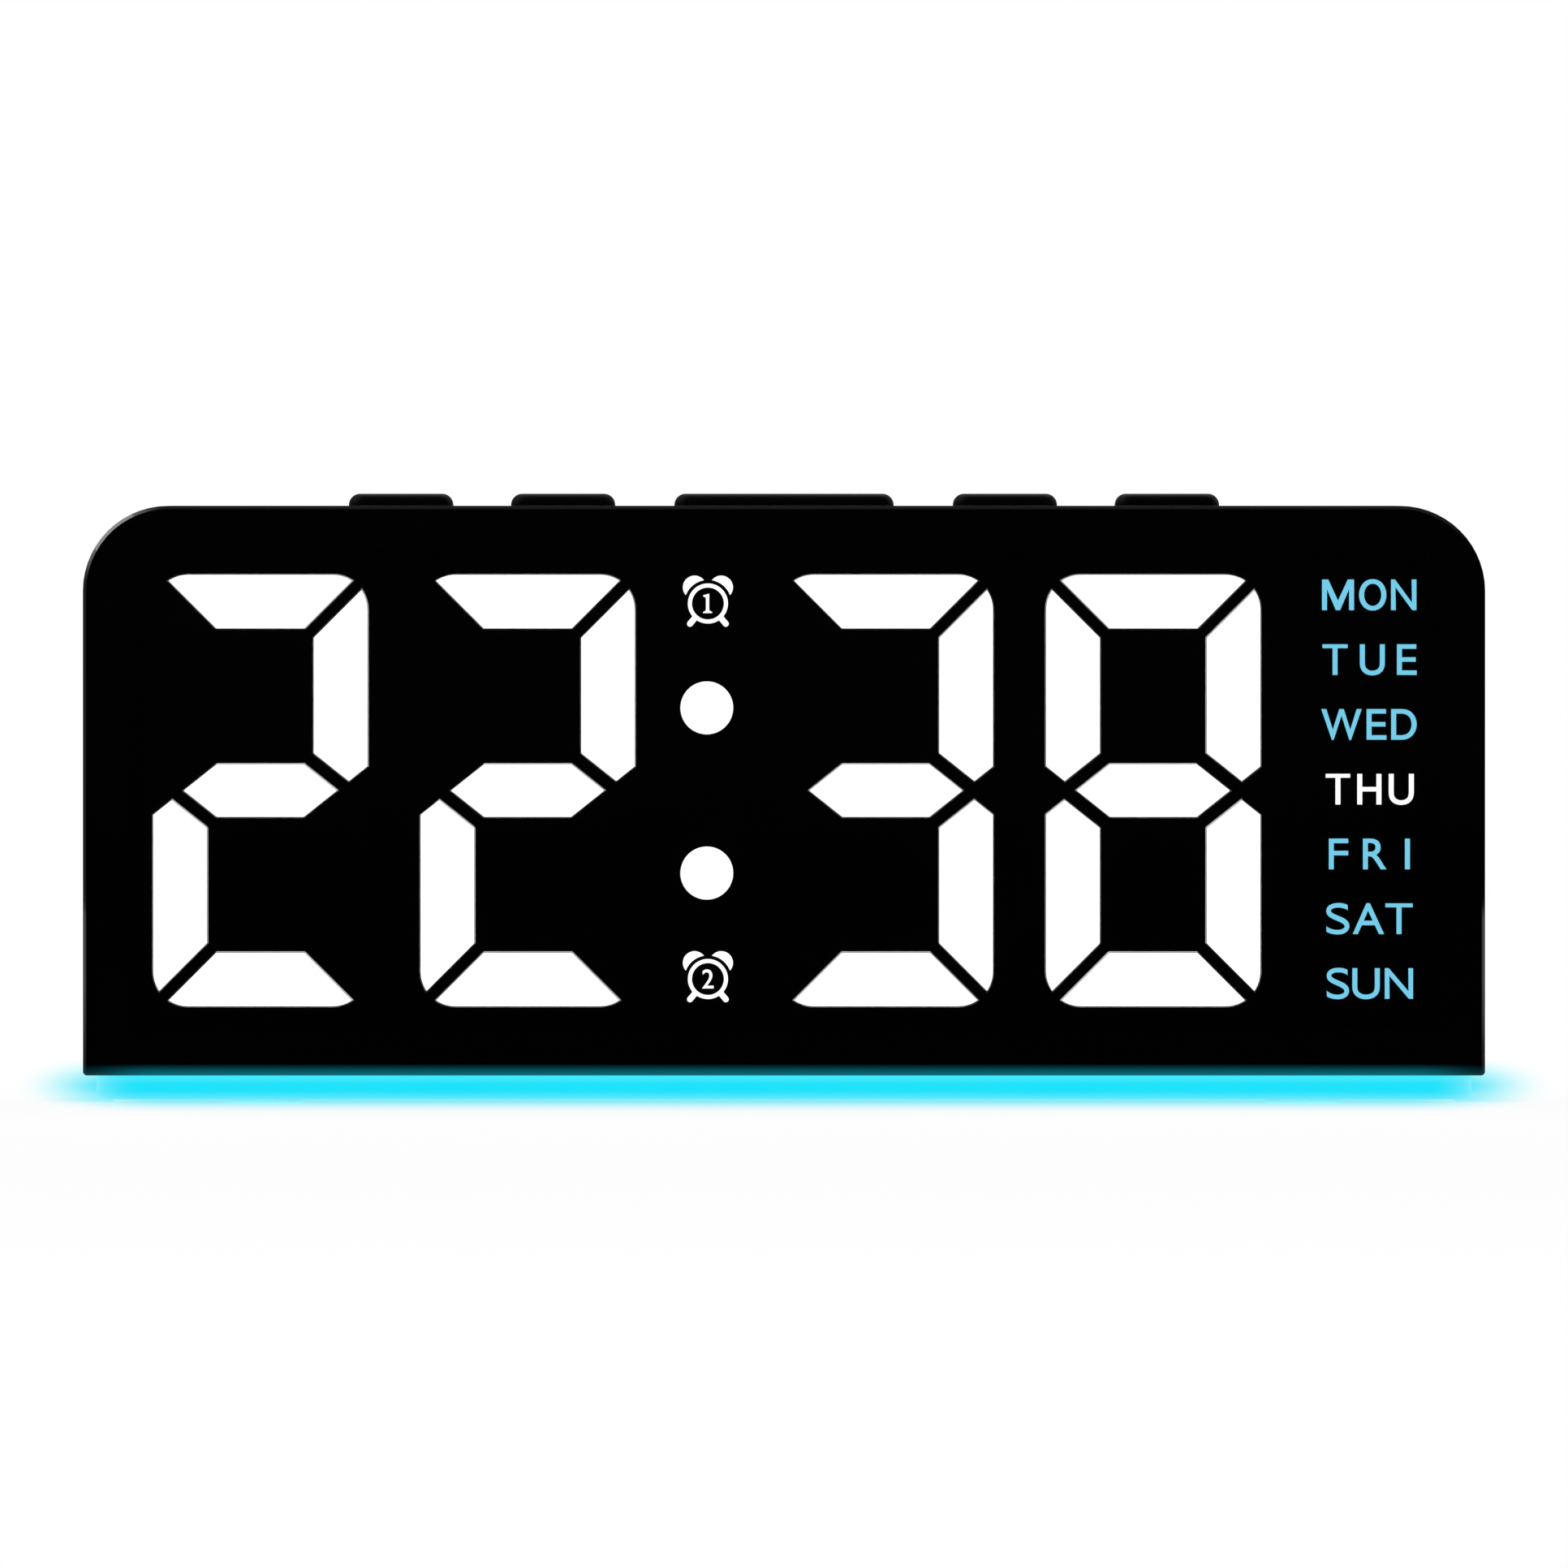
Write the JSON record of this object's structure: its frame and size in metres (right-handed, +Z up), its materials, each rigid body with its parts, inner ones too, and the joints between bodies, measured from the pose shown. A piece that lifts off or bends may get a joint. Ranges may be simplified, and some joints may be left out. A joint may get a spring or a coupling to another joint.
{
  "type": "dementia day clock",
  "caption": "Bedside day clock with a large lit segment display, a lit weekday column, push buttons on top and a night light under the case.",
  "frame": {"origin": "on the table, under the middle of the case", "axes": "+X to the clock's right seen from the front, +Y from the face to the back, +Z up"},
  "size_m": [0.1728, 0.04, 0.0753],
  "materials": {
    "smoked_lens": "polished acrylic",
    "black_tape": "matte",
    "case_black": "fine satin",
    "button_black": "satin",
    "plunger_white": "satin",
    "reflector_black": "matte",
    "segment_white": "milky diffuser",
    "sign_film": "printed film on a milky diffuser",
    "weekday_film": "printed film on a milky diffuser",
    "board_green": "solder mask",
    "board_white": "white solder mask",
    "led_white": "phosphor",
    "chip_black": "moulded epoxy",
    "bright_steel": "nickel plated",
    "socket_cream": "satin",
    "cell_sleeve": "plain sleeve",
    "guide_milky": "frosted light guide",
    "foot_rubber": "milky silicone"
  },
  "bodies": {
    "case": {"front_lens": "smoked_lens", "lens_tape": "black_tape", "front_frame": "case_black", "rear_housing": "case_black", "segment_reflector": "reflector_black", "digit_1": "segment_white", "digit_2": "segment_white", "digit_3": "segment_white", "digit_4": "segment_white", "colon_dots": "segment_white", "alarm_signs": "sign_film", "display_board": "board_green", "segment_leds": "led_white", "clock_chip": "chip_black", "led_drivers": "chip_black", "clock_crystal": "bright_steel", "board_screws": "bright_steel", "button_board_screws": "bright_steel", "power_board_screws": "bright_steel", "case_screws": "bright_steel", "button_board": "board_green", "tactile_switches": "chip_black", "board_header": "chip_black", "battery_box": "case_black", "battery_cells": "cell_sleeve", "contact_springs": "bright_steel", "contact_plates": "bright_steel", "power_board": "board_green", "usb_socket": "bright_steel", "ribbon_sockets": "socket_cream", "ribbon_cable": "socket_cream", "buzzer": "chip_black", "light_board": "board_white", "light_leds": "led_white", "light_guide": "guide_milky", "base_plate": "case_black", "base_screws": "bright_steel", "rubber_feet": "foot_rubber", "weekday_mon": "weekday_film", "weekday_tue": "weekday_film", "weekday_wed": "weekday_film", "weekday_thu": "weekday_film", "weekday_fri": "weekday_film", "weekday_sat": "weekday_film", "weekday_sun": "weekday_film"},
    "set_button": {"button_set": "button_black", "plunger_set": "plunger_white"},
    "alarm_button": {"button_alarm": "button_black", "plunger_alarm": "plunger_white"},
    "snooze_button": {"snooze_bar": "button_black", "plunger_snooze": "plunger_white"},
    "light_button": {"button_light": "button_black", "plunger_light": "plunger_white"},
    "volume_button": {"button_volume": "button_black", "plunger_volume": "plunger_white"},
    "door": {"battery_door": "case_black"}
  },
  "joints": [
    {"name": "press_set", "type": "slide", "parent": "case", "child": "set_button", "axis": [0, 0, -1], "range_m": [0, 0.0007], "stiffness_N_per_m": 500, "springref_m": -0.003},
    {"name": "press_alarm", "type": "slide", "parent": "case", "child": "alarm_button", "axis": [0, 0, -1], "range_m": [0, 0.0007], "stiffness_N_per_m": 500, "springref_m": -0.003},
    {"name": "press_snooze", "type": "slide", "parent": "case", "child": "snooze_button", "axis": [0, 0, -1], "range_m": [0, 0.0007], "stiffness_N_per_m": 500, "springref_m": -0.003},
    {"name": "press_light", "type": "slide", "parent": "case", "child": "light_button", "axis": [0, 0, -1], "range_m": [0, 0.0007], "stiffness_N_per_m": 500, "springref_m": -0.003},
    {"name": "press_volume", "type": "slide", "parent": "case", "child": "volume_button", "axis": [0, 0, -1], "range_m": [0, 0.0007], "stiffness_N_per_m": 500, "springref_m": -0.003},
    {"name": "door_swing", "type": "hinge", "parent": "case", "child": "door", "pos_m": [0, 0.02, 0.01685], "axis": [-1, 0, 0], "range_deg": [0, 75]}
  ]
}
